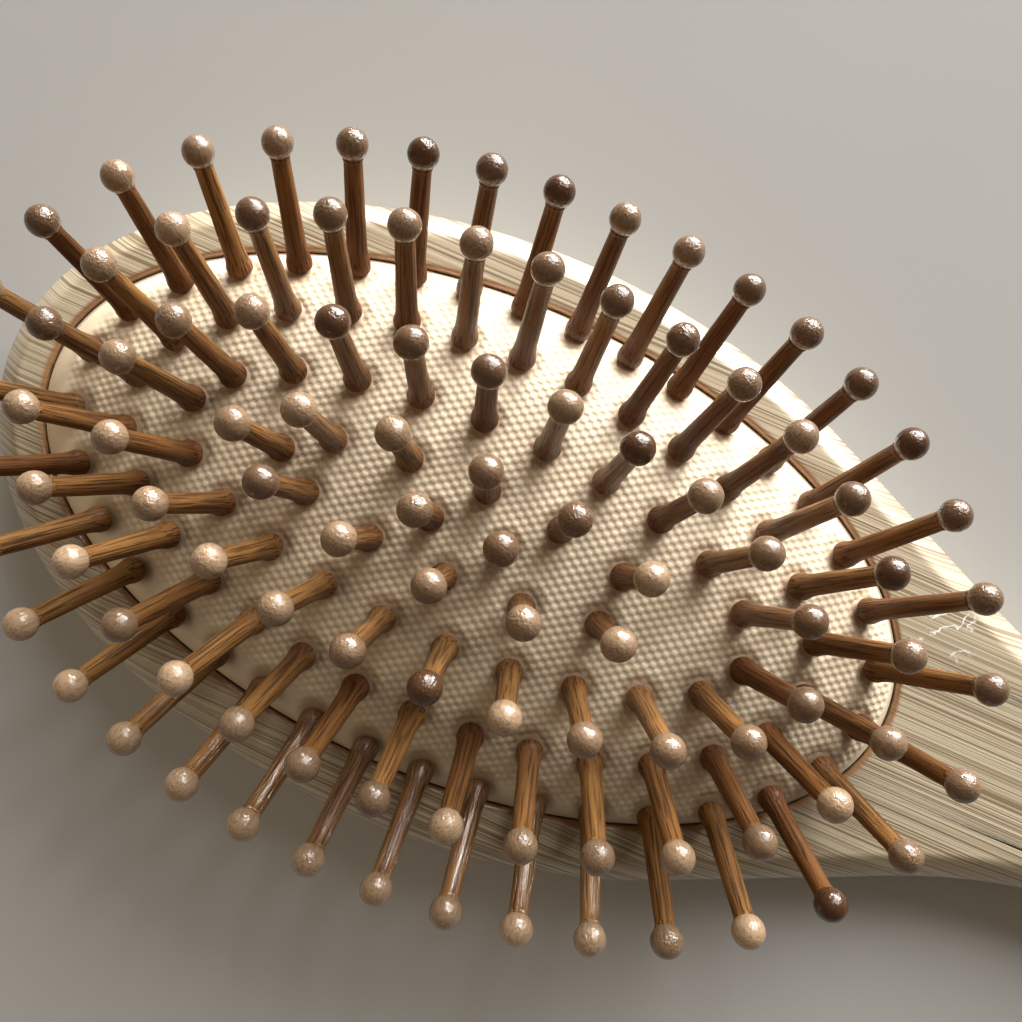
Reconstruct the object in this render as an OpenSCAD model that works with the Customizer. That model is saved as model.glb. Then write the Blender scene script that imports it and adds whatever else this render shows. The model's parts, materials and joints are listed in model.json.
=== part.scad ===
// Cushion hairbrush: a one-piece bamboo body, a domed rubber cushion and wooden ball-tipped pins.
// Millimetres. +Z is the side with the pins, and +X runs along the brush towards the end of the handle.
// The origin is the centre of the back face, halfway along the whole brush.

/* [Bamboo body] */
// Whole length of the brush, head and handle
overall_length = 225; // [215:1:245]
// Length of the oval head, measured as a full ellipse
head_length = 115; // [113:1:119]
// Width of the head at its widest
head_width = 69; // [68:0.2:72]
// Thickness of the board that the body is cut from
board_thickness = 12; // [11:0.5:14]
// Width of the neck, where the head has run down into the handle
neck_width = 21.2; // [18:0.2:24]
// Width of the handle at its swelling
handle_width = 25.2; // [23:0.2:28]
// Width of the bevel round the upper edge
bevel_width = 3; // [2:0.1:3.4]

/* [Cushion] */
// Length of the oval opening that the cushion fills
cushion_length = 101.8; // [99:0.2:102]
// Width of the oval opening that the cushion fills
cushion_width = 54.4; // [52:0.2:55]
// Height of the cushion's crown above the body
crown_height = 9; // [7:0.1:10]
// Thickness of the rubber membrane
membrane = 1.8; // [1.4:0.1:2]
// Depth of the air chamber below the cushion's ledge
chamber_depth = 4.5; // [4:0.1:5]

/* [Pins] */
// Distance from the cushion's surface to the centre of a pin's ball
pin_reach = 15.3; // [13:0.1:18]
// Diameter of the ball at the tip
ball_d = 3.36; // [2.8:0.02:3.6]
// Diameter of the shaft below the ball
shaft_top_d = 2; // [1.6:0.05:2.2]
// Diameter of the shaft above its foot
shaft_foot_d = 2.35; // [2:0.05:2.5]
// Diameter of the flared foot that stands on the cushion
foot_d = 3; // [2.6:0.05:3.2]

/* [Hidden] */
// Oval head: half axes of its outline, and the place of its centre along the brush
head_a = head_length / 2;
head_b = head_width / 2;
head_x = -overall_length / 2 + head_a;

// Flanks: straight lines that leave the head at a tangent and run in towards the handle
flank_slope = 0.46;
flank_start_t = atan(head_b / (head_a * flank_slope));
flank_start = [head_a * cos(flank_start_t), head_b * sin(flank_start_t)];
neck_start_x = 58;
neck_start = [neck_start_x, flank_start[1] - flank_slope * (neck_start_x - flank_start[0])];
neck_end = [84, neck_width / 2];
handle_end_x = overall_length - head_a;
handle_round = 24;
swell = [handle_end_x - handle_round, handle_width / 2];

// Points on a quarter of the outline's curves
head_steps = 30;
curve_steps = 8;
end_steps = 12;

// Cushion: half axes of its opening, and the shape of its crown
cushion_a = cushion_length / 2;
cushion_b = cushion_width / 2;
crown_flatness = 0.35;
opening_gap = 0.25;
pocket_round = 0.8;
lip_width = 1.2;
lip_height = 1.6;
lip_gap = 0.1;
inner_step = 2.2;
ledge_width = 2.4;
ledge_z = board_thickness - 3.2;
lip_top_z = ledge_z + lip_height + lip_gap;
chamber_floor_z = ledge_z - chamber_depth;
neck_t = 24;
oval_steps = 72;
crown_rings = 9;
inner_edge = 0.945;

// Pins: four oval rings and a short row at the centre, all turned a little from the brush's own axis
ring_names = ["outer", "second", "third", "inner"];
ring_pins = [36, 30, 22, 11];
ring_length = [0.917, 0.776, 0.635, 0.404];
ring_width = [0.928, 0.71, 0.427, 0.182];
ring_shift = [0.8, 0.4, 0.2, -0.3];
ring_phase = [-3.4, -4.7, -6.9, 0.7];
ring_end_gap = [11, 13, 20.5, 53];
ring_crowding = 7.7;
end_crowding = 1;
field_turn = -1.1;
core_pins = [[-3.7, 0], [4.4, -0.1]];

// Pin details
foot_gap = 0.12;
foot_round = 0.6;
foot_height = 0.9;
flare_height = 2.2;
collar_d = shaft_top_d + 0.16;
collar_height = 0.2;
collar_below_ball = 0.3;
neck_d = 1.7;
neck_clearance = 0.1;
anchor_d = 2.6;
anchor_height = 1;
anchor_gap = 0.35;
ball_steps = 9;
chamfer = 0.25;
round_fn = 32;

bamboo = [0.86, 0.77, 0.6];
rubber = [0.87, 0.76, 0.64];
toasted = [0.6, 0.4, 0.24];

function two_digits(n) = str(n < 10 ? "0" : "", n);
function pair_count(ring) = ceil(ring_pins[ring] / 2);

// ---- curves ----

function oval(a, b, t) = [a * cos(t), b * sin(t)];
function oval_points(a, b) = [for (i = [0:oval_steps - 1]) oval(a, b, i * 360 / oval_steps)];
function bezier(p, q, r, s, t) =
    pow(1 - t, 3) * p + 3 * t * pow(1 - t, 2) * q + 3 * t * t * (1 - t) * r + pow(t, 3) * s;
function unit(v) = v / norm(v);

// Upper half of the outline, from the free end of the head to the end of the handle
upper_edge = concat(
    [for (i = [0:head_steps - 1]) oval(head_a, head_b, 180 - i * (180 - flank_start_t) / head_steps)],
    [for (i = [0:3]) flank_start + (neck_start - flank_start) * i / 4],
    [for (i = [0:curve_steps - 1])
        let (t = i / curve_steps)
        bezier(neck_start, neck_start + 8 * [1, -flank_slope], neck_end - [10, 0], neck_end, t)],
    [for (i = [0:curve_steps - 1])
        let (t = i / curve_steps)
        bezier(neck_end, neck_end + [20, 0], swell - [20, 0], swell, t)],
    [for (i = [0:end_steps])
        swell - [0, swell[1]] + oval(handle_round, swell[1], 90 - i * 90 / end_steps)]
);
lower_edge = [for (i = [len(upper_edge) - 2:-1:1]) [upper_edge[i][0], -upper_edge[i][1]]];
outline = concat(upper_edge, lower_edge);

// The outline moved inwards along its own normals
function inset(points, d) = [for (i = [0:len(points) - 1])
    let (n = len(points), along = unit(points[(i + 1) % n] - points[(i + n - 1) % n]))
    points[i] + d * [along[1], -along[0]]];

// Edge of the board as [inset, height]: rounded at the back, bevelled on the side with the pins
edge_profile = [
    [2, 0],
    [0.9, 0.35],
    [0.25, 1],
    [0, 2],
    [0, board_thickness - 3],
    [0.35, board_thickness - 1.9],
    [bevel_width - 0.5, board_thickness - 0.25],
    [bevel_width, board_thickness]
];

// A closed skin through layers that all have the same number of points, with a flat cap at each end
module loft(layers) {
    n = len(layers[0]);
    last = (len(layers) - 1) * n;
    polyhedron(
        points = [for (layer = layers) each layer],
        faces = concat(
            [[for (i = [0:n - 1]) i]],
            [for (k = [0:len(layers) - 2]) for (i = [0:n - 1])
                [k * n + i, (k + 1) * n + i, (k + 1) * n + (i + 1) % n, k * n + (i + 1) % n]],
            [[for (i = [n - 1:-1:0]) last + i]]
        )
    );
}

// ---- the crown of the cushion ----

// How far in from the edge ring k of the crown lies, as a share of the oval.
// The last ring stops short of the centre.
function ring_share(k) = 0.97 * pow(k / crown_rings, 1.2);

// Height above the body at a place on the cushion: flat in the middle, steeper towards the edge
function crown(x, y) =
    let (r = pow(x / cushion_a, 2) + pow(y / cushion_b, 2))
    crown_height * (1 - crown_flatness * r - (1 - crown_flatness) * r * r);
function crown_normal(x, y) =
    let (
        r = pow(x / cushion_a, 2) + pow(y / cushion_b, 2),
        fall = 2 * crown_height * (crown_flatness + 2 * (1 - crown_flatness) * r)
    )
    unit([fall * x / pow(cushion_a, 2), fall * y / pow(cushion_b, 2), 1]);
function crown_layer(share, drop) = [for (p = oval_points(cushion_a * share, cushion_b * share))
    [p[0], p[1], board_thickness + crown(p[0], p[1]) - drop]];

// ---- the bamboo body ----

// Angle round the pocket that faces each point of the upper edge: along the handle they crowd together
pocket_t = concat(
    [for (i = [0:head_steps - 1]) 180 - i * (180 - flank_start_t) / head_steps],
    [for (i = [0:3]) flank_start_t + (neck_t - flank_start_t) * i / 4],
    [for (i = [0:2 * curve_steps + end_steps]) neck_t * (1 - i / (2 * curve_steps + end_steps))]
);
pocket_angles = concat(pocket_t, [for (i = [len(pocket_t) - 2:-1:1]) -pocket_t[i]]);
function pocket_layer(grow, z) =
    [for (t = pocket_angles) each [concat(oval(cushion_a + grow, cushion_b + grow, t), [z])]];

// Pocket as [growth of the cushion's oval, height], from the upper face down to the chamber's floor
pocket_profile = [
    [opening_gap + pocket_round, board_thickness],
    [opening_gap + pocket_round * 0.3, board_thickness - pocket_round * 0.3],
    [opening_gap, board_thickness - pocket_round],
    [opening_gap, lip_top_z],
    [lip_width + lip_gap, lip_top_z],
    [lip_width + lip_gap, ledge_z],
    [-ledge_width, ledge_z],
    [-ledge_width, chamber_floor_z]
];

module bamboo_body() {
    color(bamboo)
        translate([head_x, 0, 0])
            loft(concat(
                [for (e = edge_profile) [for (p = inset(outline, e[0])) [p[0], p[1], e[1]]]],
                [for (e = pocket_profile) pocket_layer(e[0], e[1])]
            ));
}

// ---- the cushion ----

// Lip and side wall as [growth of the oval, height], from the chamber's wall out to the crown's edge
lip_profile = [
    [-inner_step, ledge_z],
    [lip_width, ledge_z],
    [lip_width, ledge_z + lip_height],
    [0, ledge_z + lip_height]
];

module cushion() {
    color(rubber)
        translate([head_x, 0, 0])
            difference() {
                loft(concat(
                    [for (k = [crown_rings:-1:0]) crown_layer(inner_edge * (1 - ring_share(k)), membrane)],
                    [for (e = lip_profile)
                        [for (p = oval_points(cushion_a + e[0], cushion_b + e[0])) [p[0], p[1], e[1]]]],
                    [for (k = [0:crown_rings]) crown_layer(1 - ring_share(k), 0)]
                ));
                for (ring = [0:3])
                    for (i = [0:ring_pins[ring] - 1])
                        at_pin(ring_place(ring, i))
                            pin_hole();
                for (p = core_pins)
                    at_pin(p)
                        pin_hole();
            }
}

// ---- the pins ----

// Angle of pin i of a ring, counted round from the free end of the head. An even ring leaves its gap at both
// ends of the brush's axis. The odd ring has a pin at the free end and its gap towards the handle.
function even_angle(ring, i) =
    let (half = ring_pins[ring] / 2, gap = ring_end_gap[ring])
    180 * floor(i / half) + gap / 2 + (i % half) * (180 - gap) / (half - 1);
function odd_angle(ring, i) =
    let (n = ring_pins[ring], step = (360 - ring_end_gap[ring]) / (n - 1))
    i <= n / 2 ? i * step : 360 - (n - i) * step;

// Place of pin i on its oval, with the pins crowded a little along the brush's sides
function ring_place(ring, i) =
    let (
        t = ring_phase[ring] + (ring_pins[ring] % 2 == 0 ? even_angle(ring, i) : odd_angle(ring, i)),
        crowded_t = t + ring_crowding * sin(2 * t) + end_crowding * sin(4 * t),
        place = oval(cushion_a * ring_length[ring], cushion_b * ring_width[ring], 180 - crowded_t)
    )
    [
        place[0] * cos(field_turn) - place[1] * sin(field_turn) + ring_shift[ring],
        place[0] * sin(field_turn) + place[1] * cos(field_turn)
    ];

// Stands its children on the cushion at a place, square to the surface there
module at_pin(place) {
    n = crown_normal(place[0], place[1]);
    translate([place[0], place[1], board_thickness + crown(place[0], place[1])])
        rotate([0, acos(n[2]), atan2(n[1], n[0])])
            children();
}

module pin_hole() {
    translate([0, 0, -membrane * 2])
        cylinder(h = membrane * 4, d = neck_d + 2 * neck_clearance, $fn = round_fn);
}

// Point of the curve that runs from the foot, at share 0, up into the shaft, at share 1
function flare_point(share) = [
    shaft_foot_d / 2 + (foot_d - shaft_foot_d) / 2 * pow(1 - share, 2),
    foot_gap + foot_height + share * (flare_height - foot_height)
];

// One pin, standing on z = 0: anchor below the membrane, neck, foot, tapered shaft, collar and ball
module pin(wall) {
    anchor_top = -wall - anchor_gap;
    ball_low = pin_reach - sqrt(pow(ball_d / 2, 2) - pow(shaft_top_d / 2, 2));
    ball_low_t = asin(shaft_top_d / ball_d);
    collar_z = ball_low - collar_below_ball;
    rotate_extrude($fn = round_fn)
        polygon(concat(
            [
                [0, anchor_top - anchor_height],
                [anchor_d / 2 - chamfer, anchor_top - anchor_height],
                [anchor_d / 2, anchor_top - anchor_height + chamfer],
                [anchor_d / 2, anchor_top],
                [neck_d / 2, anchor_top],
                [neck_d / 2, foot_gap],
                [foot_d / 2 - foot_round * 0.6, foot_gap],
                [foot_d / 2 - foot_round * 0.15, foot_gap + foot_round * 0.35],
                [foot_d / 2, foot_gap + foot_round],
                [foot_d / 2 - 0.03, foot_gap + foot_height],
                for (share = [0.25, 0.5, 0.75, 1]) flare_point(share),
                [shaft_top_d / 2, collar_z - collar_height / 2],
                [collar_d / 2, collar_z],
                [collar_d / 2, collar_z + collar_height],
                [shaft_top_d / 2, collar_z + collar_height * 1.3]
            ],
            [for (i = [0:ball_steps])
                let (t = ball_low_t + (180 - ball_low_t) * i / ball_steps)
                [i == ball_steps ? 0 : ball_d / 2 * sin(t), pin_reach - ball_d / 2 * cos(t)]]
        ));
}

module placed_pin(place) {
    color(toasted)
        translate([head_x, 0, 0])
            at_pin(place)
                pin(membrane * crown_normal(place[0], place[1])[2]);
}

// Pin i and its opposite number across the brush; an odd ring has one pin without an opposite
module pin_pair(ring, i) {
    odd = ring_pins[ring] % 2;
    opposite = odd == 1 ? (ring_pins[ring] - i) % ring_pins[ring] : ring_pins[ring] - 1 - i;
    placed_pin(ring_place(ring, i));
    if (opposite != i)
        placed_pin(ring_place(ring, opposite));
}

bamboo_body();
cushion();
for (ring = [0:3])
    for (i = [1:pair_count(ring)])
        pin_pair(ring, i - 1);
for (i = [1:len(core_pins)])
    placed_pin(core_pins[i - 1]);
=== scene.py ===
"""The looks of the cushion hairbrush: bamboo body, embossed rubber cushion and 101 lacquered wooden pins.

Lengths are written in millimetres and turned into metres by MM. The frame is the CAD model's own:
+Z out of the side with the pins, +X from the head towards the end of the handle.
"""

import json
import math

import bmesh
import bpy
import numpy as np
from mathutils import Matrix, Vector
from mathutils.geometry import delaunay_2d_cdt


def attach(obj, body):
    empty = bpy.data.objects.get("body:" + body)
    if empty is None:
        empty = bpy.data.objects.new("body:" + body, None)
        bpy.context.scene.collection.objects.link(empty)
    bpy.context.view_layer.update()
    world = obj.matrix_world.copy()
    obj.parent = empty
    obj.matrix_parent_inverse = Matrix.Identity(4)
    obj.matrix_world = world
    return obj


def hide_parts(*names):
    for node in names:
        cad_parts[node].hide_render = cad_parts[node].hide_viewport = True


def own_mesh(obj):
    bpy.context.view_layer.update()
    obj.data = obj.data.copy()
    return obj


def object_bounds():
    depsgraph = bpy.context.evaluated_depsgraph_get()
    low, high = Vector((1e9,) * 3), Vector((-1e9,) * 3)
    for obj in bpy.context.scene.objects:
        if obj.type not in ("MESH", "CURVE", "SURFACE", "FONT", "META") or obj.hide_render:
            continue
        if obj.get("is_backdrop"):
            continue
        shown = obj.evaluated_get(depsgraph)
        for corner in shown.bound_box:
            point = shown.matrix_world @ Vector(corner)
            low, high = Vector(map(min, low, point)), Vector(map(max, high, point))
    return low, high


MM = 0.001
SEED = 7

# ---- sizes, the same as the CAD model's ----

# The board, seen from above from the head's centre: half axes of the head, then flanks, neck and handle
HEAD_A, HEAD_B = 57.5, 34.5
FLANK_SLOPE = 0.46
NECK_START_X = 58
NECK_END = (84, 10.6)
HANDLE_HALF = 12.6
HANDLE_ROUND = 24
BOARD = 12  # thickness
BEVEL = 3

# The pocket and the cushion in it
CUSHION_A, CUSHION_B = 50.9, 27.2  # half axes of the cushion's visible oval
CROWN, FLATNESS = 9, 0.35  # height of the crown, and how flat its middle is
MEMBRANE = 1.8
LEDGE_Z, LEDGE_WIDTH = 8.8, 2.4
CHAMBER_FLOOR = 4.3
LIP_WIDTH, LIP_HEIGHT, LIP_GAP = 1.2, 1.6, 0.1

# ---- sizes for the looks, some of them close to the CAD model's ----

BACK_ROUND = 2
OPENING_GAP, POCKET_ROUND = 0.25, 0.7
BURNT_REACH = 0.3  # how far the burnt tint spreads over the board beyond the pocket's rounded edge
LIP_INNER = -0.9  # inner face of the lip, from the edge of the cushion's oval
INNER_EDGE = 0.945  # outer edge of the membrane's underside, as a share of the oval
EDGE_TURNS = 720  # mesh points round the cushion's edge
EDGE_SWELL = 0.08  # the cushion spreads into its gap by this much
FLOOR_Z = -0.05  # just clear of the back
FLOOR_HALF = 4000
LIT_PLACE = (-0.05, 0, 0.02)  # what the lamps face, in metres
DAYLIGHT = (1.0, 0.975, 0.93)

# The embossed dots: (distance, direction in degrees) of the two nearest dots, mesh cells between dots, height
DOT_STEPS = ((0.91, 32), (0.89, 143.5))
DOT_CELLS = 4
DOT_HEIGHT = 0.085
WAVE_THIRD = 0.35  # weight of the third wave, which rounds the dots
WAVE_LOW, WAVE_RANGE = 1.65, 4  # the three waves add up to no less than -1.65, over a range of 4

# Where the lacquer is cracked, from the head's centre, and how far round it
SCUFF_PLACE, SCUFF_REACH = (53, 11.5), 4.5
THICK_LACQUER = (-14, 30)  # where along the head the outer pins on the -Y side are glossiest

# A pin: distance from its foot to the centre of its ball, and its radii
PIN_REACH = 15.3
BALL_R, NECK_R, SHAFT_TOP_R, SHAFT_FOOT_R, FOOT_R = 1.68, 1.12, 1.0, 1.17, 1.5
ANCHOR_END, ANCHOR_TOP = -18.4, -17.4  # measured from the centre of the ball
ANCHOR_R, STEM_R = 1.3, 0.85
FOOT_LIFT, FOOT_HEIGHT, FLARE_HEIGHT = 0.12, 1.0, 2.6


# ---- mesh helpers ----


def new_piece(name, points, faces, material, smooth_angle=35):
    """A mesh object from points in millimetres, faces turned outwards, smooth up to an angle in degrees."""
    mesh = bpy.data.meshes.new(name)
    mesh.from_pydata([tuple(MM * c for c in p) for p in points], [], faces)
    mesh.validate()
    work = bmesh.new()
    work.from_mesh(mesh)
    bmesh.ops.recalc_face_normals(work, faces=work.faces)
    work.to_mesh(mesh)
    work.free()
    mesh.materials.append(material)
    mesh.shade_smooth()
    mesh.set_sharp_from_angle(angle=math.radians(smooth_angle))
    obj = bpy.data.objects.new(name, mesh)
    bpy.context.scene.collection.objects.link(obj)
    return obj


def mark_points(piece, name, values, kind="FLOAT"):
    """Stores one number, or one vector, for each point of a piece, for its material to read."""
    mark = piece.data.attributes.new(name, kind, "POINT")
    mark.data.foreach_set("value" if kind == "FLOAT" else "vector", np.array(values, np.float32).ravel())


def loft(layers, cap_start=True, cap_end=True):
    """Points and faces of a skin through layers that all have the same number of points."""
    n = len(layers[0])
    points = [p for layer in layers for p in layer]
    faces = []
    for k in range(len(layers) - 1):
        for i in range(n):
            j = (i + 1) % n
            faces.append((k * n + i, k * n + j, (k + 1) * n + j, (k + 1) * n + i))
    if cap_start:
        faces.append(tuple(range(n))[::-1])
    if cap_end:
        faces.append(tuple((len(layers) - 1) * n + i for i in range(n)))
    return points, faces


def oval(a, b, t):
    return (a * math.cos(t), b * math.sin(t))


def polar(length, degrees):
    return (length * math.cos(math.radians(degrees)), length * math.sin(math.radians(degrees)))


def bezier(p, q, r, s, t):
    return tuple(
        (1 - t) ** 3 * p[i] + 3 * t * (1 - t) ** 2 * q[i] + 3 * t * t * (1 - t) * r[i] + t**3 * s[i]
        for i in (0, 1)
    )


# ---- material helpers ----


class Shader:
    """A node tree with short calls for the nodes that these materials use."""

    def __init__(self, name):
        self.material = bpy.data.materials.new(name)
        self.material.use_nodes = True
        self.tree = self.material.node_tree
        self.surface = self.tree.nodes["Principled BSDF"]
        self.texture = self.tree.nodes.new("ShaderNodeTexCoord").outputs["Object"]

    def node(self, kind, **settings):
        made = self.tree.nodes.new("ShaderNode" + kind)
        for key, value in settings.items():
            setattr(made, key, value)
        return made

    def put(self, socket, value):
        if isinstance(value, bpy.types.NodeSocket):
            self.tree.links.new(value, socket)
        else:
            socket.default_value = value

    def math(self, operation, a, b=0.0, clamp=False):
        """One Math node, as ("ADD", a, b); a and b are numbers or sockets."""
        made = self.node("Math", operation=operation, use_clamp=clamp)
        self.put(made.inputs[0], a)
        self.put(made.inputs[1], b)
        return made.outputs[0]

    def mapping(self, vector, scale, location=(0, 0, 0)):
        made = self.node("Mapping")
        self.put(made.inputs["Vector"], vector)
        made.inputs["Location"].default_value = location
        made.inputs["Scale"].default_value = scale
        return made.outputs[0]

    def noise(self, vector, scale, detail=3.0, roughness=0.5, distortion=0.0):
        made = self.node("TexNoise")
        self.put(made.inputs["Vector"], vector)
        made.inputs["Scale"].default_value = scale
        made.inputs["Detail"].default_value = detail
        made.inputs["Roughness"].default_value = roughness
        made.inputs["Distortion"].default_value = distortion
        return made.outputs["Fac"]

    def ramp(self, factor, stops):
        """A colour ramp with stops of (position, (r, g, b)) or (position, value)."""
        made = self.node("ValToRGB")
        self.put(made.inputs[0], factor)
        elements = made.color_ramp.elements
        while len(elements) < len(stops):
            elements.new(0.5)
        for element, (position, colour) in zip(elements, stops):
            element.position = position
            rgb = colour if isinstance(colour, tuple) else (colour,) * 3
            element.color = (*rgb, 1)
        return made.outputs["Color"]

    def mix(self, factor, a, b):
        made = self.node("Mix", data_type="RGBA")
        self.put(made.inputs["Factor"], factor)
        for socket, value in ((made.inputs[6], a), (made.inputs[7], b)):
            self.put(socket, (*value, 1) if isinstance(value, tuple) else value)
        return made.outputs[2]

    def attribute(self, name, output="Fac"):
        return self.node("Attribute", attribute_name=name).outputs[output]

    def separate(self, vector):
        made = self.node("SeparateXYZ")
        self.put(made.inputs[0], vector)
        return made.outputs

    def combine(self, x, y, z):
        made = self.node("CombineXYZ")
        for socket, value in zip(made.inputs, (x, y, z)):
            self.put(socket, value)
        return made.outputs[0]

    def bump(self, height, distance, strength=1.0, normal=None):
        made = self.node("Bump")
        self.put(made.inputs["Height"], height)
        made.inputs["Distance"].default_value = distance
        made.inputs["Strength"].default_value = strength
        if normal is not None:
            self.put(made.inputs["Normal"], normal)
        return made.outputs[0]

    def finish(self, colour, roughness, normal, **sockets):
        """Wires the surface up. Further sockets are set by name, with _ for a space."""
        self.put(self.surface.inputs["Base Color"], colour)
        self.put(self.surface.inputs["Roughness"], roughness)
        self.put(self.surface.inputs["Normal"], normal)
        for name, value in sockets.items():
            self.surface.inputs[name.replace("_", " ")].default_value = value
        return self.material


# ---- materials ----


def cracked_lacquer(s, x, y):
    """1 on the flaking cracks in the lacquer: a patch where the head runs into the handle, on both faces."""
    off_x = s.math("SUBTRACT", x, (HEAD_X + SCUFF_PLACE[0]) * MM)
    off_y = s.math("SUBTRACT", y, SCUFF_PLACE[1] * MM)
    squares = [s.math("MULTIPLY", off, off) for off in (off_x, off_y)]
    distance = s.math("SQRT", s.math("ADD", *squares))
    patch = s.ramp(s.math("DIVIDE", distance, SCUFF_REACH * MM), [(0.6, 1.0), (1.0, 0.0)])
    crack = s.noise(s.texture, 330, 2, 0.5, 0.8)
    crack = s.ramp(crack, [(0.485, 0.0), (0.5, 1.0), (0.53, 1.0), (0.545, 0.0)])
    flakes = s.ramp(s.noise(s.texture, 350), [(0.45, 0.0), (0.52, 1.0)])
    return s.math("MULTIPLY", s.math("MULTIPLY", crack, patch), flakes)


def bamboo_material():
    """Pale bamboo under satin lacquer: fine dark fibres along X over strips of slightly different tone."""
    s = Shader("bamboo")
    x, y, z = s.separate(s.texture)
    # lines run along X: told apart by Y on the faces and the bevel, and by Z on the sides
    upright = s.separate(s.node("TexCoord").outputs["Normal"])[2]
    on_side = s.ramp(s.math("ABSOLUTE", upright), [(0.3, 1.0), (0.36, 0.0)])
    face_line = s.math("ADD", y, s.math("MULTIPLY", z, 0.35))
    side_line = s.math("ADD", z, s.math("MULTIPLY", y, 0.05))
    from_face = s.math("MULTIPLY", s.math("SUBTRACT", side_line, face_line), on_side)
    flat = s.combine(x, s.math("ADD", face_line, from_face), 0.0)
    strips = s.noise(s.mapping(flat, scale=(3, 170, 1)), 1, 2)
    fibres = s.noise(s.mapping(flat, scale=(6, 3300, 1)), 1.5, 3, 0.6)
    bundles = s.noise(s.mapping(flat, scale=(4, 2300, 1), location=(3, 1, 2)), 1.2, 2, 0.6)
    hairs = s.noise(s.mapping(flat, scale=(8, 4600, 1), location=(7, 4, 5)), 1.3, 1, 0.5)
    blotch = s.noise(s.mapping(s.texture, scale=(22, 60, 60)), 1, 3)
    strip_tone = s.ramp(
        strips,
        [(0.32, (0.33, 0.27, 0.175)), (0.5, (0.40, 0.34, 0.235)), (0.68, (0.46, 0.40, 0.29))],
    )
    colour = s.mix(s.ramp(fibres, [(0.42, 0.0), (0.58, 0.8)]), strip_tone, (0.52, 0.46, 0.345))
    colour = s.mix(s.ramp(bundles, [(0.53, 0.0), (0.6, 0.45)]), colour, (0.20, 0.135, 0.07))
    colour = s.mix(s.ramp(hairs, [(0.52, 0.0), (0.58, 0.8)]), colour, (0.14, 0.09, 0.045))
    colour = s.mix(s.ramp(blotch, [(0.5, 0.0), (0.75, 0.3)]), colour, (0.36, 0.29, 0.19))
    colour = s.mix(s.math("MULTIPLY", cracked_lacquer(s, x, y), 0.85), colour, (0.85, 0.85, 0.82))
    # the router burnt the pocket's edge orange where it rounds over; the near-black down the pocket's wall is
    # painted shade in the narrow gap round the cushion
    uneven = s.math("MULTIPLY", s.math("SUBTRACT", s.noise(s.texture, 550, 3, 0.6), 0.5), 1.3)
    mark = s.attribute("burn_and_gap_shade")
    burn_and_gap_shade = s.math("ADD", mark, s.math("MULTIPLY", mark, uneven))
    colour = s.mix(s.ramp(burn_and_gap_shade, [(0.04, 0.0), (0.3, 0.85)]), colour, (0.26, 0.115, 0.04))
    colour = s.mix(s.ramp(burn_and_gap_shade, [(0.44, 0.0), (0.75, 0.97)]), colour, (0.035, 0.014, 0.006))
    relief = s.math("SUBTRACT", fibres, s.math("MULTIPLY", hairs, 0.6))
    normal = s.bump(relief, 0.00010, 0.4)
    rough = s.ramp(fibres, [(0.3, 0.26), (0.7, 0.44)])
    return s.finish(colour, rough, normal, Coat_Weight=1.0, Coat_Roughness=0.24, Specular_IOR_Level=0.5)


def dot_lattice(s):
    """The cushion's dots in a shader: 0 between them, 1 on top of them."""
    x, y = s.separate(s.texture)[:2]
    x = s.math("SUBTRACT", x, HEAD_X * MM)
    across = np.linalg.inv([polar(*step) for step in DOT_STEPS]) * 2 * math.pi / MM
    phases = []
    for per_x, per_y in across.T:
        phases.append(s.math("ADD", s.math("MULTIPLY", x, float(per_x)), s.math("MULTIPLY", y, float(per_y))))
    waves = [s.math("COSINE", phase) for phase in phases]
    third = s.math("MULTIPLY", s.math("COSINE", s.math("SUBTRACT", *phases)), WAVE_THIRD)
    total = s.math("ADD", s.math("ADD", *waves), third)
    return s.math("DIVIDE", s.math("ADD", total, WAVE_LOW), WAVE_RANGE, clamp=True)


def rubber_material():
    """Matt beige rubber, pale on top of the embossed dots; the brown between them and round the pins' feet is
    painted shade.
    """
    s = Shader("rubber")
    beads = s.ramp(dot_lattice(s), [(0.18, 0.0), (0.45, 0.62), (0.9, 1.0)])
    embossed = s.attribute("embossed")
    painted_foot_shade = s.attribute("painted_foot_shade")
    grime = s.noise(s.texture, 60, 3, 0.6)
    colour = s.mix(s.ramp(grime, [(0.35, 0.0), (0.7, 1.0)]), (0.68, 0.57, 0.42), (0.76, 0.665, 0.51))
    # painted shade: the hollows between the dots are coloured browner, as if in shade
    between = s.math("MULTIPLY", s.math("SUBTRACT", 1.0, beads), embossed)
    colour = s.mix(s.math("MULTIPLY", between, 0.36), colour, (0.33, 0.22, 0.12))
    # painted shade: the cushion is coloured brown close round each pin's foot, where the pin shades it
    colour = s.mix(s.math("MULTIPLY", painted_foot_shade, 0.65), colour, (0.25, 0.125, 0.055))
    fine = s.math("MULTIPLY", s.noise(s.texture, 5200, 2, 0.5), 0.15)
    normal = s.bump(s.math("SUBTRACT", fine, between), 0.00006, 1.0)
    return s.finish(colour, 0.5, normal, Specular_IOR_Level=0.4)


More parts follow.
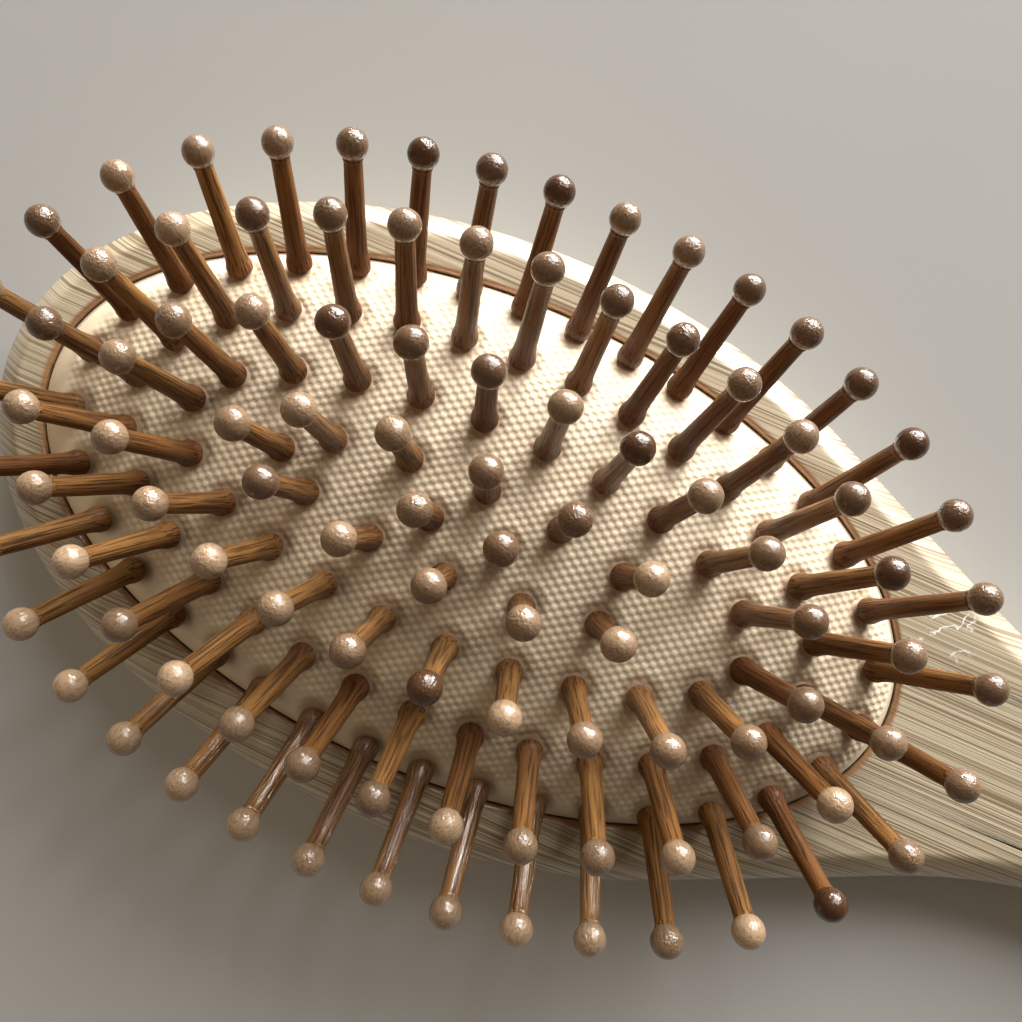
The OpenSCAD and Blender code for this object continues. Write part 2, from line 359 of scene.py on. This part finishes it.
def pin_material():
    """Toasted wood under lacquer. Each point's place in its pin, tone and gloss are held by the mesh."""
    s = Shader("pin_wood")
    local = s.attribute("along_pin", "Vector")
    # the tone is each pin's own random tone plus painted light: paler towards -Y and -X, and darker towards
    # the foot as painted shade
    tone = s.attribute("tone")
    fibres = s.noise(s.mapping(local, scale=(1500, 1500, 90)), 1.6, 3, 0.6)
    vessels = s.noise(s.mapping(local, scale=(2700, 2700, 65), location=(5, 2, 9)), 1.5, 2, 0.6)
    blotch = s.noise(s.mapping(local, scale=(420, 420, 130)), 1, 2)
    light_wood = s.mix(fibres, (0.20, 0.088, 0.021), (0.40, 0.215, 0.070))
    dark_wood = s.mix(fibres, (0.075, 0.022, 0.005), (0.175, 0.066, 0.015))
    colour = s.mix(tone, dark_wood, light_wood)
    colour = s.mix(s.ramp(blotch, [(0.42, 0.0), (0.7, 0.4)]), colour, (0.10, 0.04, 0.013))
    on_ball = s.attribute("on_ball")
    off_ball = s.math("SUBTRACT", 1.0, s.math("MULTIPLY", on_ball, 0.6))
    ball_wood = s.mix(tone, (0.040, 0.017, 0.007), (0.46, 0.33, 0.215))
    colour = s.mix(s.math("MULTIPLY", on_ball, 0.85), colour, ball_wood)
    lines = s.math("MULTIPLY", s.ramp(vessels, [(0.5, 0.0), (0.6, 0.75)]), off_ball)
    colour = s.mix(lines, colour, (0.04, 0.014, 0.005))
    speckle = s.math("MULTIPLY", s.noise(local, 5500, 1), 0.45)
    relief = s.math("ADD", s.math("SUBTRACT", fibres, s.math("MULTIPLY", lines, 0.8)), speckle)
    grain = s.bump(s.math("MULTIPLY", relief, off_ball), 0.00012, 0.8)
    # the balls are cut across the grain, so their lacquer is pitted in places
    pits = s.ramp(s.noise(local, 3000, 1, 0.5), [(0.35, 0.0), (0.65, 1.0)])
    pitted = s.math("MULTIPLY", s.ramp(s.noise(local, 260, 1), [(0.45, 0.0), (0.6, 1.0)]), on_ball)
    normal = s.bump(s.math("MULTIPLY", pits, pitted), 0.00005, 0.7, grain)
    rough = s.math("SUBTRACT", s.ramp(blotch, [(0.3, 0.5), (0.7, 0.62)]), s.math("MULTIPLY", on_ball, 0.2))
    gloss = s.math("MAXIMUM", s.attribute("gloss"), s.math("MULTIPLY", on_ball, 0.65))
    s.put(s.surface.inputs["Coat Weight"], gloss)
    s.put(s.surface.inputs["Coat Normal"], normal)
    return s.finish(colour, rough, normal, Coat_Roughness=0.1, Coat_IOR=1.75, Specular_IOR_Level=0.15)


def floor_material():
    """Plain, matt and pale."""
    s = Shader("floor")
    grain = s.noise(s.texture, 30, 3)
    colour = s.mix(grain, (0.43, 0.435, 0.44), (0.45, 0.455, 0.46))
    return s.finish(colour, 0.85, s.bump(grain, 0.0005, 0.1))


# ---- bamboo body ----


def body_outline():
    """Outline of the board seen from above, and for each point the angle of its place round the pocket."""
    t0 = math.atan(HEAD_B / (HEAD_A * FLANK_SLOPE))
    start = oval(HEAD_A, HEAD_B, t0)
    neck = (NECK_START_X, start[1] - FLANK_SLOPE * (NECK_START_X - start[0]))
    neck_pull = (neck[0] + 8, neck[1] - 8 * FLANK_SLOPE)
    swell = (HANDLE_END - HANDLE_ROUND, HANDLE_HALF)
    upper, angles = [], []
    head_n, flank_n, curve_n, end_n = 90, 14, 26, 34
    neck_t = math.radians(24)
    for i in range(head_n):
        t = math.pi - i * (math.pi - t0) / head_n
        upper.append(oval(HEAD_A, HEAD_B, t))
        angles.append(t)
    for i in range(flank_n):
        f = i / flank_n
        upper.append((start[0] + (neck[0] - start[0]) * f, start[1] + (neck[1] - start[1]) * f))
        angles.append(t0 + (neck_t - t0) * f)
    rest = 2 * curve_n + end_n
    for i in range(curve_n):
        upper.append(bezier(neck, neck_pull, (NECK_END[0] - 10, NECK_END[1]), NECK_END, i / curve_n))
        angles.append(neck_t * (1 - i / rest))
    for i in range(curve_n):
        pulls = (NECK_END[0] + 20, NECK_END[1]), (swell[0] - 20, swell[1])
        upper.append(bezier(NECK_END, *pulls, swell, i / curve_n))
        angles.append(neck_t * (1 - (curve_n + i) / rest))
    for i in range(end_n + 1):
        t = math.pi / 2 * (1 - i / end_n)
        upper.append((swell[0] + HANDLE_ROUND * math.cos(t), HANDLE_HALF * math.sin(t)))
        angles.append(neck_t * (1 - (2 * curve_n + i) / rest))
    lower = [(x, -y) for x, y in upper[-2:0:-1]]
    return upper + lower, angles + [-t for t in angles[-2:0:-1]]


def inset(points, distance):
    """A closed outline moved inwards, along its own normals."""
    moved = []
    n = len(points)
    for i in range(n):
        dx = points[(i + 1) % n][0] - points[i - 1][0]
        dy = points[(i + 1) % n][1] - points[i - 1][1]
        length = math.hypot(dx, dy)
        moved.append((points[i][0] + distance * dy / length, points[i][1] - distance * dx / length))
    return moved


def edge_profile():
    """Edge of the board as (inset, height): rounded at the back, a soft bevel on the side with the pins."""
    quarter = np.radians(np.linspace(0, 90, 9))
    back = [(BACK_ROUND * (1 - math.sin(t)), BACK_ROUND * (1 - math.cos(t))) for t in quarter]
    top = [
        (0, BOARD - 4.5),
        (0, BOARD - 3.2),
        (0.06, BOARD - 2.6),
        (0.28, BOARD - 2.05),
        (0.7, BOARD - 1.6),
        (BEVEL - 1.1, BOARD - 0.7),
        (BEVEL - 0.55, BOARD - 0.32),
        (BEVEL - 0.2, BOARD - 0.1),
        (BEVEL + 0.15, BOARD - 0.02),
        (BEVEL + 0.5, BOARD),
    ]
    return back + top


def pocket_profile():
    """Wall of the pocket, downwards, as (growth of the cushion's oval, height, mark): the mark is the burn on
    the rounded edge, and further down it is painted shade of the gap round the cushion.
    """
    groove_top = LEDGE_Z + LIP_HEIGHT + LIP_GAP
    round_over = [
        (
            OPENING_GAP + POCKET_ROUND * (1 - math.sin(t)),
            BOARD - POCKET_ROUND * (1 - math.cos(t)),
            0.08 + 0.47 * math.sin(t),
        )
        for t in np.radians(np.linspace(0, 90, 9))
    ]
    return [
        (OPENING_GAP + POCKET_ROUND + BURNT_REACH, BOARD, 0),
        *round_over,
        # from here down the wall the mark stands for painted shade in the gap, not for burning
        (OPENING_GAP, BOARD - POCKET_ROUND - 0.2, 0.8),
        (OPENING_GAP, groove_top, 1),
        (LIP_WIDTH + LIP_GAP, groove_top, 1),
        (LIP_WIDTH + LIP_GAP, LEDGE_Z, 1),
        (-LEDGE_WIDTH, LEDGE_Z, 1),
        (-LEDGE_WIDTH, CHAMBER_FLOOR, 1),
    ]


def make_body(material):
    """The board, as one skin: up its edge, in over its face and down into the pocket."""
    outline, angles = body_outline()
    layers = [[(HEAD_X + x, y, z) for x, y in inset(outline, d)] for d, z in edge_profile()]
    burn_and_gap_shade = [0.0] * (len(outline) * len(layers))
    # the third value is the burn on the rounded edge and, inside the pocket, painted shade of the gap
    for grow, z, char_and_gap_shade in pocket_profile():
        ring = [oval(CUSHION_A + grow, CUSHION_B + grow, t) for t in angles]
        layers.append([(HEAD_X + x, y, z) for x, y in ring])
        burn_and_gap_shade += [char_and_gap_shade] * len(outline)
    points, faces = loft(layers)
    body = new_piece("bamboo_body_shape", points, faces, material, 40)
    mark_points(body, "burn_and_gap_shade", burn_and_gap_shade)
    return body


# ---- pins ----


def cad_pins(node):
    """(centre, axis, lowest place, highest place along it) of each pin in a CAD node, in metres."""
    mesh = frame["nodes"][node].data
    points = np.array([v.co for v in mesh.vertices], float)
    keys = {}
    weld = [keys.setdefault(tuple(np.round(p, 7)), len(keys)) for p in points]
    parent = list(range(len(keys)))

    def find(i):
        while parent[i] != i:
            parent[i] = parent[parent[i]]
            i = parent[i]
        return i

    for a, b in ((weld[e.vertices[0]], weld[e.vertices[1]]) for e in mesh.edges):
        parent[find(a)] = find(b)
    unique = np.array(list(keys))
    groups = np.array([find(i) for i in range(len(keys))])
    found = []
    for g in sorted(set(groups)):
        cloud = unique[groups == g]
        centre = cloud.mean(0)
        axis = np.linalg.svd(cloud - centre)[2][0]
        axis *= np.sign(axis[2])
        along = (cloud - centre) @ axis
        found.append((centre, axis, along.min(), along.max()))
    return found


def crown(x, y):
    """Height of the cushion above the board, at a place from the cushion's centre, in millimetres."""
    r = (x / CUSHION_A) ** 2 + (y / CUSHION_B) ** 2
    return CROWN * (1 - FLATNESS * r - (1 - FLATNESS) * r * r)


def pin_profile():
    """One pin from its anchor to its tip, as (radius, place along it from the centre of the ball)."""
    foot_z = FOOT_LIFT - PIN_REACH
    points = [
        (0, ANCHOR_END),
        (ANCHOR_R - 0.2, ANCHOR_END),
        (ANCHOR_R, ANCHOR_END + 0.2),
        (ANCHOR_R, ANCHOR_TOP - 0.1),
        (STEM_R, ANCHOR_TOP),
        (STEM_R, foot_z),
    ]
    under = 0.45  # radius of the foot's lower edge
    for t in np.radians([0, 18, 36, 54, 72, 90]):
        points.append((FOOT_R - under + under * math.sin(t), foot_z + under * (1 - math.cos(t))))
    flare_z = foot_z + FOOT_HEIGHT
    points.append((FOOT_R, flare_z))
    for share in np.linspace(0.1, 1, 10):
        radius = SHAFT_FOOT_R + (FOOT_R - SHAFT_FOOT_R) * (1 - share) ** 2.2
        points.append((radius, flare_z + share * FLARE_HEIGHT))
    neck_z = -math.sqrt(BALL_R**2 - NECK_R**2)
    shaft_z = flare_z + FLARE_HEIGHT
    for share in np.linspace(0, 1, 8)[1:]:
        radius = SHAFT_FOOT_R + (SHAFT_TOP_R - SHAFT_FOOT_R) * share
        points.append((radius, shaft_z + share * (neck_z - 0.5 - shaft_z)))
    # a low collar just under the ball, as (height over the shaft, place along it)
    neck = [(0.03, -0.42), (0.08, -0.34), (0.1, -0.24), (0.08, -0.14), (0.08, -0.05)]
    points += [(SHAFT_TOP_R + out, neck_z + z) for out, z in neck]
    for t in np.linspace(math.asin(NECK_R / BALL_R), math.pi, 15):
        points.append((BALL_R * math.sin(t) if t < math.pi else 0, -BALL_R * math.cos(t)))
    return points


def make_pins(node, pins, material, rng):
    """One object for a CAD node's pins: turned shapes on the CAD axes, each a little different."""
    sides = 28
    profile = pin_profile()
    turns = [2 * math.pi * i / sides for i in range(sides)]
    points, faces, local, tones, on_ball, gloss = [], [], [], [], [], []
    for centre, axis, low, high in pins:
        ball_centre = (centre + axis * high) / MM - axis * BALL_R
        lowest = low / MM + (centre / MM - ball_centre) @ axis
        side = np.cross(axis, (0.3, 0.9, 0.1))
        side /= np.linalg.norm(side)
        other = np.cross(axis, side)
        start = len(points)
        wobble = rng.uniform(0, 2 * math.pi, 2)
        # each pin has its own random tone, raised towards -Y and -X as painted light for the lit sides seen
        # there; and a run of the outer ones there took more lacquer
        across = -ball_centre[1] / (CUSHION_B + 8)
        along = (ball_centre[0] - HEAD_X) / (CUSHION_A + 8)
        shaft_tone = float(np.clip(rng.normal(0.47 + 0.25 * across - 0.1 * along, 0.2), 0.03, 1))
        ball_tone = float(np.clip(rng.normal(0.36 + 0.3 * across - 0.08 * along, 0.16), 0.0, 1))
        offset = rng.uniform(-0.2, 0.2, 3)
        lacquer = float(rng.choice([0.04, 0.12, 0.3], p=[0.35, 0.4, 0.25]))
        if across > 0.85 and THICK_LACQUER[0] < ball_centre[0] - HEAD_X < THICK_LACQUER[1]:
            lacquer = 1.0
        for radius, z in profile:
            z = max(z, lowest)
            ball_share = min(max((z + NECK_R + 0.12) / 0.2, 0), 1)  # 0 on the shaft, 1 on the ball
            # painted shade: the shaft's tone is lowered towards the foot, where the cushion and the other
            # pins shade it
            shaded_foot_tone = shaft_tone - 0.35 * min(max((-z - 8) / 7, 0), 1)  # darker towards the foot
            for t in turns:
                uneven = 0.012 * math.sin(2 * t + wobble[0]) + 0.008 * math.sin(3 * t + z * 0.8 + wobble[1])
                out = radius * (0.98 + uneven)
                outwards = math.cos(t) * side + math.sin(t) * other
                points.append(tuple(ball_centre + axis * z + out * outwards))
                place = (radius * math.cos(t), radius * math.sin(t), z)
                local.append([MM * c + o for c, o in zip(place, offset)])
                tones.append(max(shaded_foot_tone + (ball_tone - shaded_foot_tone) * ball_share, 0))
                on_ball.append(ball_share)
                gloss.append(lacquer)
        for k in range(len(profile) - 1):
            low_ring, high_ring = start + k * sides, start + (k + 1) * sides
            for i in range(sides):
                j = (i + 1) % sides
                faces.append((low_ring + i, low_ring + j, high_ring + j, high_ring + i))
    piece = new_piece(node + "_turned", points, faces, material, 50)
    mark_points(piece, "along_pin", local, "FLOAT_VECTOR")
    mark_points(piece, "tone", tones)
    mark_points(piece, "on_ball", on_ball)
    mark_points(piece, "gloss", gloss)
    return piece


# ---- cushion ----


def dot_pattern(places):
    """0 between the cushion's dots and 1 on top of them, at places in millimetres from its centre."""
    across = np.linalg.inv([polar(*step) for step in DOT_STEPS])
    u, v = 2 * math.pi * (places @ across).T
    waves = np.cos(u) + np.cos(v) + WAVE_THIRD * np.cos(u - v)
    return np.clip((waves + WAVE_LOW) / WAVE_RANGE, 0, 1)


def cushion_places():
    """Places of the crown's mesh points: a grid in step with the dots, then loops out to the edge."""
    steps = np.array([polar(*step) for step in DOT_STEPS]) / DOT_CELLS
    count = np.arange(-400, 401)
    grid = (count[:, None, None] * steps[0] + count[None, :, None] * steps[1]).reshape(-1, 2)
    grid = grid[np.hypot(grid[:, 0] / CUSHION_A, grid[:, 1] / CUSHION_B) < 0.955]
    turn = np.linspace(0, 2 * math.pi, EDGE_TURNS, endpoint=False)
    half_axes = (CUSHION_A + EDGE_SWELL, CUSHION_B + EDGE_SWELL)
    loops = [
        np.stack((half_axes[0] * share * np.cos(turn), half_axes[1] * share * np.sin(turn)), 1)
        for share in (0.967, 0.974, 0.981, 0.987, 0.992, 0.996, 1)
    ]
    return np.concatenate([grid, *loops])


def close_membrane(points, faces):
    """Adds the cushion's edge, turned down into the pocket, and its underside, one membrane lower."""
    edge = len(points) - EDGE_TURNS
    loops = [(0.99, BOARD - 1.2), (INNER_EDGE, BOARD - 1.2)]
    loops += [(share, None) for share in (INNER_EDGE, 0.8, 0.6, 0.4, 0.2, 0.01)]
    turns = np.linspace(0, 2 * math.pi, EDGE_TURNS, endpoint=False)
    for share, z in loops:
        for t in turns:
            x, y = oval(CUSHION_A * share, CUSHION_B * share, t)
            points.append((HEAD_X + x, y, BOARD + crown(x, y) - MEMBRANE if z is None else z))
    for k in range(len(loops)):
        upper_loop, lower_loop = edge + k * EDGE_TURNS, edge + (k + 1) * EDGE_TURNS
        for i in range(EDGE_TURNS):
            j = (i + 1) % EDGE_TURNS
            faces.append((upper_loop + i, upper_loop + j, lower_loop + j, lower_loop + i))
    faces.append(tuple(range(len(points) - EDGE_TURNS, len(points))))


def make_cushion(material, feet):
    """The crown as a closed membrane, embossed with dots, dipping round each of the pins' feet."""
    places = cushion_places()
    made = delaunay_2d_cdt([Vector(p) for p in places.tolist()], [], [], 0, 1e-6)
    places = np.array([tuple(p) for p in made[0]])
    gap = np.full(len(places), 1e3)
    for foot in feet:
        gap = np.minimum(gap, np.hypot(*(places - foot).T))
    share = np.hypot(places[:, 0] / CUSHION_A, places[:, 1] / CUSHION_B)
    # the moulded dots stop just short of the edge, and earlier towards -X and -Y
    along, aside = places[:, 0] / CUSHION_A, places[:, 1] / CUSHION_B
    smooth = 0.02 + 0.09 * np.clip(-along, 0, 1)
    smooth += 0.22 * np.clip(-aside, 0, 1) * np.clip(1 - 1.4 * along, 0, 1)
    embossed = np.clip((1 - 0.4 * smooth - share) / (0.6 * smooth), 0, 1) * np.clip((gap - 1.4) / 0.15, 0, 1)
    dots = 1 - (1 - dot_pattern(places)) * embossed
    # a dip under each foot, with a low swelling round it, and an edge that rolls down
    dip = -0.22 * np.exp(-(((gap - 1.5) / 0.6) ** 2)) + 0.08 * np.exp(-(((gap - 2.7) / 0.7) ** 2))
    dip *= np.clip((1 - share) / 0.03, 0, 1)
    rolled = -0.5 * np.clip((share - 0.95) / 0.046, 0, 1) ** 2
    height = BOARD + crown(places[:, 0], places[:, 1]) + dip + rolled - DOT_HEIGHT * (1 - dots)
    points = [(HEAD_X + x, y, z) for (x, y), z in zip(places, height)]
    faces = [tuple(face) for face in made[2]]
    close_membrane(points, faces)
    cushion = new_piece("cushion_crown", points, faces, material, 60)
    # painted shade round each pin's foot, strongest at the foot and fading within a millimetre or so
    painted_foot_shade = np.exp(-((np.maximum(gap - 1.25, 0) / 0.75) ** 2))
    hidden = np.zeros(len(points) - len(places))
    mark_points(cushion, "embossed", np.concatenate([embossed, hidden]))
    mark_points(cushion, "painted_foot_shade", np.concatenate([painted_foot_shade, hidden]))
    return cushion


def make_lip(material):
    """The cushion's edge, held in the body's lip groove."""
    groove_top = LEDGE_Z + LIP_HEIGHT
    profile = [
        (LIP_INNER, LEDGE_Z),
        (LIP_WIDTH, LEDGE_Z),
        (LIP_WIDTH, groove_top),
        (0, groove_top),
        (0, BOARD - 0.7),
        (LIP_INNER, BOARD - 0.7),
        (LIP_INNER, LEDGE_Z),
    ]
    turns = np.linspace(0, 2 * math.pi, 160, endpoint=False)
    layers = []
    for grow, z in profile:
        ring = [oval(CUSHION_A + grow, CUSHION_B + grow, t) for t in turns]
        layers.append([(HEAD_X + x, y, z) for x, y in ring])
    points, faces = loft(layers, False, False)
    return new_piece("cushion_lip", points, faces, material, 40)


# ---- camera, floor and light ----


def make_camera():
    """A camera above the middle of the head, turned so that the handle runs to the lower right."""
    eye = Vector((HEAD_X + 6.2, -0.7, BOARD + 115)) * MM
    forward = Vector((-0.0238, 0.0443, -0.9987))
    up = Vector((-0.3987, 0.9157, 0.0501))
    right = forward.cross(up).normalized()
    up = right.cross(forward).normalized()
    turn = Matrix((right, up, -forward.normalized())).transposed().to_4x4()
    data = bpy.data.cameras.new("camera")
    data.lens, data.sensor_width = 36.035, 36
    data.clip_start, data.clip_end = 0.005, 10
    camera = bpy.data.objects.new("camera", data)
    camera.matrix_world = Matrix.Translation(eye) @ turn
    bpy.context.scene.collection.objects.link(camera)
    bpy.context.scene.camera = camera


def area_light(name, place, size, power, colour):
    """A rectangular lamp at a place in metres, facing the middle of the head."""
    data = bpy.data.lights.new(name, "AREA")
    data.shape = "RECTANGLE"
    data.size, data.size_y = size
    data.energy = power
    data.color = colour
    light = bpy.data.objects.new(name, data)
    light.location = place
    light.rotation_mode = "QUATERNION"
    light.rotation_quaternion = (Vector(LIT_PLACE) - Vector(place)).to_track_quat("-Z", "Y")
    bpy.context.scene.collection.objects.link(light)
    return light


def make_studio():
    """The floor, a broad window with a low one behind it, a faint warm fill, and the world."""
    corners = [(x * FLOOR_HALF, y * FLOOR_HALF, FLOOR_Z) for x, y in ((-1, -1), (1, -1), (1, 1), (-1, 1))]
    floor = new_piece("floor", corners, [(0, 1, 2, 3)], floor_material())
    floor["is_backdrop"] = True
    area_light("window", (0.112, 0.761, 0.479), (0.62, 0.72), 13.0, DAYLIGHT)
    low_window = area_light("low_window", (0.03, 2.38, 0.355), (2.6, 0.38), 210.0, DAYLIGHT)
    # the low light would glare on the floor in front of it, so it leaves the floor out
    unlit = bpy.data.collections.new("unlit_by_low_window")
    unlit.objects.link(floor)
    unlit.collection_objects[0].light_linking.link_state = "EXCLUDE"
    low_window.light_linking.receiver_collection = unlit
    fill = area_light("fill", (-0.6, -0.2, 0.45), (0.8, 0.8), 1.5, (1.0, 0.78, 0.52))
    fill.visible_glossy = False
    bpy.context.scene.world = studio_world()


def studio_world():
    """A dim warm light from all round, behind which the backdrop itself is pale."""
    world = bpy.data.worlds.new("studio")
    world.use_nodes = True
    nodes, links = world.node_tree.nodes, world.node_tree.links
    warm = nodes["Background"]
    warm.inputs[0].default_value = (1.0, 0.80, 0.60, 1)
    warm.inputs[1].default_value = 0.14
    pale = nodes.new("ShaderNodeBackground")
    pale.inputs[0].default_value = (0.55, 0.55, 0.54, 1)
    seen = nodes.new("ShaderNodeLightPath")
    chosen = nodes.new("ShaderNodeMixShader")
    links.new(seen.outputs["Is Camera Ray"], chosen.inputs[0])
    links.new(warm.outputs[0], chosen.inputs[1])
    links.new(pale.outputs[0], chosen.inputs[2])
    links.new(chosen.outputs[0], nodes["World Output"].inputs[0])
    return world


# ---- the scene ----

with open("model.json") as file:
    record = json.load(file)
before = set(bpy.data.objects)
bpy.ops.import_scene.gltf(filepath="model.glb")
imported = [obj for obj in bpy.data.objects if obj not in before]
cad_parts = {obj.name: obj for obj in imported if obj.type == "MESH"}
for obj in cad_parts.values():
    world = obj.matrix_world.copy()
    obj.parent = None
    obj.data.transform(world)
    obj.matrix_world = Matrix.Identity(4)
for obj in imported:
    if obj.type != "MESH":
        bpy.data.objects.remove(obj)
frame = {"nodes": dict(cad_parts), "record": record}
cad_low, cad_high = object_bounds()
HANDLE_END = (cad_high.x - cad_low.x) / MM - HEAD_A
HEAD_X = cad_low.x / MM + HEAD_A

bpy.context.scene.view_settings.view_transform = "Standard"
make_camera()
make_studio()
bamboo = bamboo_material()
rubber = rubber_material()
pin_wood = pin_material()

body = make_body(bamboo)
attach(body, "brush_body")
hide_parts("bamboo_body")

rng = np.random.default_rng(SEED)
feet = []
for body_name in ("outer_pins", "second_pins", "third_pins", "inner_pins", "core_pins"):
    for node in frame["record"]["behaviour"]["bodies"][body_name]:
        pins = cad_pins(node)
        piece = make_pins(node, pins, pin_wood, rng)
        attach(piece, body_name)
        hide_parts(node)
        for centre, axis, low, high in pins:
            foot = (centre + axis * high) / MM - axis * (BALL_R + PIN_REACH)
            feet.append((foot[0] - HEAD_X, foot[1]))

cushion = make_cushion(rubber, feet)
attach(cushion, "brush_body")
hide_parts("cushion")
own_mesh(cushion)
lip = make_lip(rubber)
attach(lip, "brush_body")

low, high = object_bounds()
